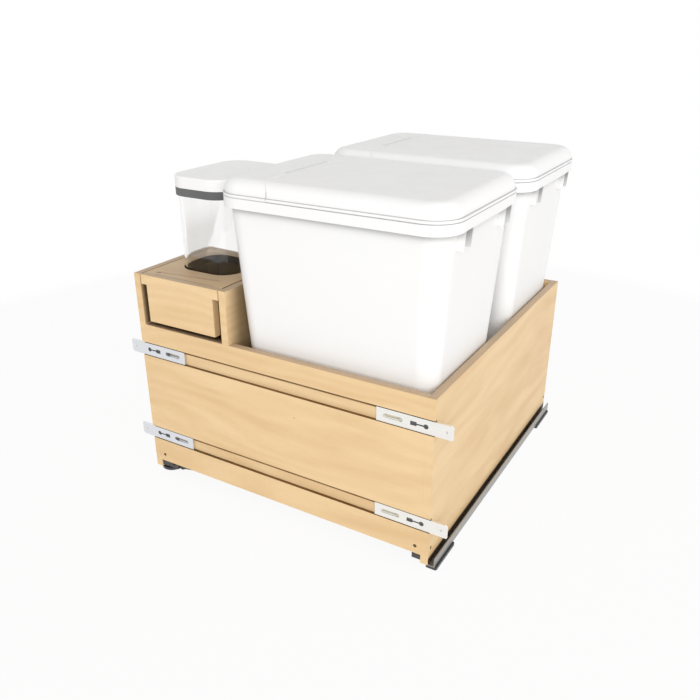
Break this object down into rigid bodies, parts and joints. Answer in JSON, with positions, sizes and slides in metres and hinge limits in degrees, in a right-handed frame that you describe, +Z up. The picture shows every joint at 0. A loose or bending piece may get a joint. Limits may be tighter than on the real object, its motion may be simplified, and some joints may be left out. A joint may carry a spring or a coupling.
{
  "type": "pull-out waste unit",
  "caption": "Pull-out wooden waste unit on undermount slides for a base cabinet, with lidded bins and a lift-out caddy holding a clear storage canister.",
  "frame": {"origin": "on the cabinet floor, under the middle of the unit", "axes": "+Z up; the front face looks towards -Y; +X is to the right as seen from the front"},
  "size_m": [0.5648, 0.5476, 0.5193],
  "materials": {
    "maple": "clear satin lacquer on pale maple",
    "bin_plastic": "smooth moulded white",
    "lid_plastic": "smooth moulded white",
    "cap_plastic": "smooth moulded white",
    "clear_plastic": "clear moulded plastic",
    "gasket_rubber": "matt grey",
    "zinc_plate": "bright zinc plate",
    "dark_steel": "dark coating",
    "rail_steel": "zinc-plated rolled sheet",
    "screw_steel": "dull steel",
    "carriage_nylon": "natural nylon",
    "dark_plastic": "moulded dark grey"
  },
  "bodies": {
    "frame": {"cabinet_rail_left": "rail_steel", "cabinet_rail_right": "rail_steel", "floor_bracket_front_left": "dark_steel", "floor_bracket_front_right": "dark_steel", "floor_bracket_rear_left": "dark_steel", "floor_bracket_rear_right": "dark_steel", "soft_close_damper_left": "dark_plastic", "soft_close_damper_right": "dark_plastic"},
    "box": {"left_side": "maple", "right_side": "maple", "front_panel": "maple", "back_panel": "maple", "bottom_panel": "maple", "partition": "maple", "organiser_back": "maple", "caddy_cleat_left": "maple", "caddy_cleat_right": "maple", "box_screws": "screw_steel", "bracket_screws": "screw_steel", "drawer_rail_left": "rail_steel", "drawer_rail_right": "rail_steel", "release_clip_left": "dark_plastic", "release_clip_right": "dark_plastic"},
    "caddy": {"caddy_front": "maple", "caddy_top": "maple", "caddy_side_left": "maple", "caddy_side_right": "maple", "caddy_back": "maple", "caddy_bottom": "maple"},
    "canister": {"canister_jar": "clear_plastic"},
    "canister_lid": {"canister_gasket": "gasket_rubber", "canister_cap": "cap_plastic"},
    "middle_slide_left": {"middle_rail_left": "rail_steel", "slide_carriages_left": "carriage_nylon"},
    "middle_slide_right": {"middle_rail_right": "rail_steel", "slide_carriages_right": "carriage_nylon"},
    "lever_left": {"release_lever_left": "dark_plastic"},
    "lever_right": {"release_lever_right": "dark_plastic"},
    "bracket_upper_left": {"door_bracket_upper_left": "zinc_plate", "bracket_clip_upper_left": "dark_steel"},
    "bracket_upper_right": {"door_bracket_upper_right": "zinc_plate", "bracket_clip_upper_right": "dark_steel"},
    "bracket_lower_left": {"door_bracket_lower_left": "zinc_plate", "bracket_clip_lower_left": "dark_steel"},
    "bracket_lower_right": {"door_bracket_lower_right": "zinc_plate", "bracket_clip_lower_right": "dark_steel"},
    "bin_front": {"bin_front": "bin_plastic", "lid_strip_front": "lid_plastic", "lid_pin_front": "screw_steel"},
    "flap_front": {"lid_flap_front": "lid_plastic"},
    "bin_rear": {"bin_rear": "bin_plastic", "lid_strip_rear": "lid_plastic", "lid_pin_rear": "screw_steel"},
    "flap_rear": {"lid_flap_rear": "lid_plastic"}
  },
  "joints": [
    {"name": "box_pull", "type": "slide", "parent": "frame", "child": "box", "axis": [0, -1, 0], "range_m": [0, 0.53]},
    {"name": "middle_slide_left_run", "type": "slide", "parent": "frame", "child": "middle_slide_left", "axis": [0, -1, 0], "range_m": [0, 0.265]},
    {"name": "middle_slide_right_run", "type": "slide", "parent": "frame", "child": "middle_slide_right", "axis": [0, -1, 0], "range_m": [0, 0.265]},
    {"name": "release_lever_left_press", "type": "hinge", "parent": "box", "child": "lever_left", "pos_m": [-0.2058, -0.26505, 0.0165], "axis": [0, 0, 1], "range_deg": [0, 8], "stiffness_Nm_per_rad": 0.05},
    {"name": "release_lever_right_press", "type": "hinge", "parent": "box", "child": "lever_right", "pos_m": [0.2058, -0.25675, 0.0165], "axis": [0, 0, -1], "range_deg": [0, 8], "stiffness_Nm_per_rad": 0.05},
    {"name": "bracket_upper_left_adjust", "type": "slide", "parent": "box", "child": "bracket_upper_left", "axis": [-1, 0, 0], "range_m": [0, 0.022]},
    {"name": "bracket_upper_right_adjust", "type": "slide", "parent": "box", "child": "bracket_upper_right", "axis": [1, 0, 0], "range_m": [0, 0.022]},
    {"name": "bracket_lower_left_adjust", "type": "slide", "parent": "box", "child": "bracket_lower_left", "axis": [-1, 0, 0], "range_m": [0, 0.022]},
    {"name": "bracket_lower_right_adjust", "type": "slide", "parent": "box", "child": "bracket_lower_right", "axis": [1, 0, 0], "range_m": [0, 0.022]},
    {"name": "caddy_lift", "type": "slide", "parent": "box", "child": "caddy", "axis": [0, 0, 1], "range_m": [0, 0.09]},
    {"name": "canister_lift", "type": "slide", "parent": "caddy", "child": "canister", "axis": [0, 0, 1], "range_m": [0, 0.2]},
    {"name": "canister_lid_lift", "type": "slide", "parent": "canister", "child": "canister_lid", "axis": [0, 0, 1], "range_m": [0, 0.06]},
    {"name": "bin_front_lift", "type": "slide", "parent": "box", "child": "bin_front", "axis": [0, 0, 1], "range_m": [0, 0.3]},
    {"name": "lid_front_open", "type": "hinge", "parent": "bin_front", "child": "flap_front", "pos_m": [-0.0155, -0.143, 0.5148], "axis": [0, -1, 0], "range_deg": [0, 100]},
    {"name": "bin_rear_lift", "type": "slide", "parent": "box", "child": "bin_rear", "axis": [0, 0, 1], "range_m": [0, 0.3]},
    {"name": "lid_rear_open", "type": "hinge", "parent": "bin_rear", "child": "flap_rear", "pos_m": [-0.0155, 0.143, 0.5148], "axis": [0, -1, 0], "range_deg": [0, 100]}
  ],
  "couplings": [
    {"joint": "middle_slide_left_run", "follows": "box_pull", "ratio": 0.5},
    {"joint": "middle_slide_right_run", "follows": "box_pull", "ratio": 0.5}
  ]
}
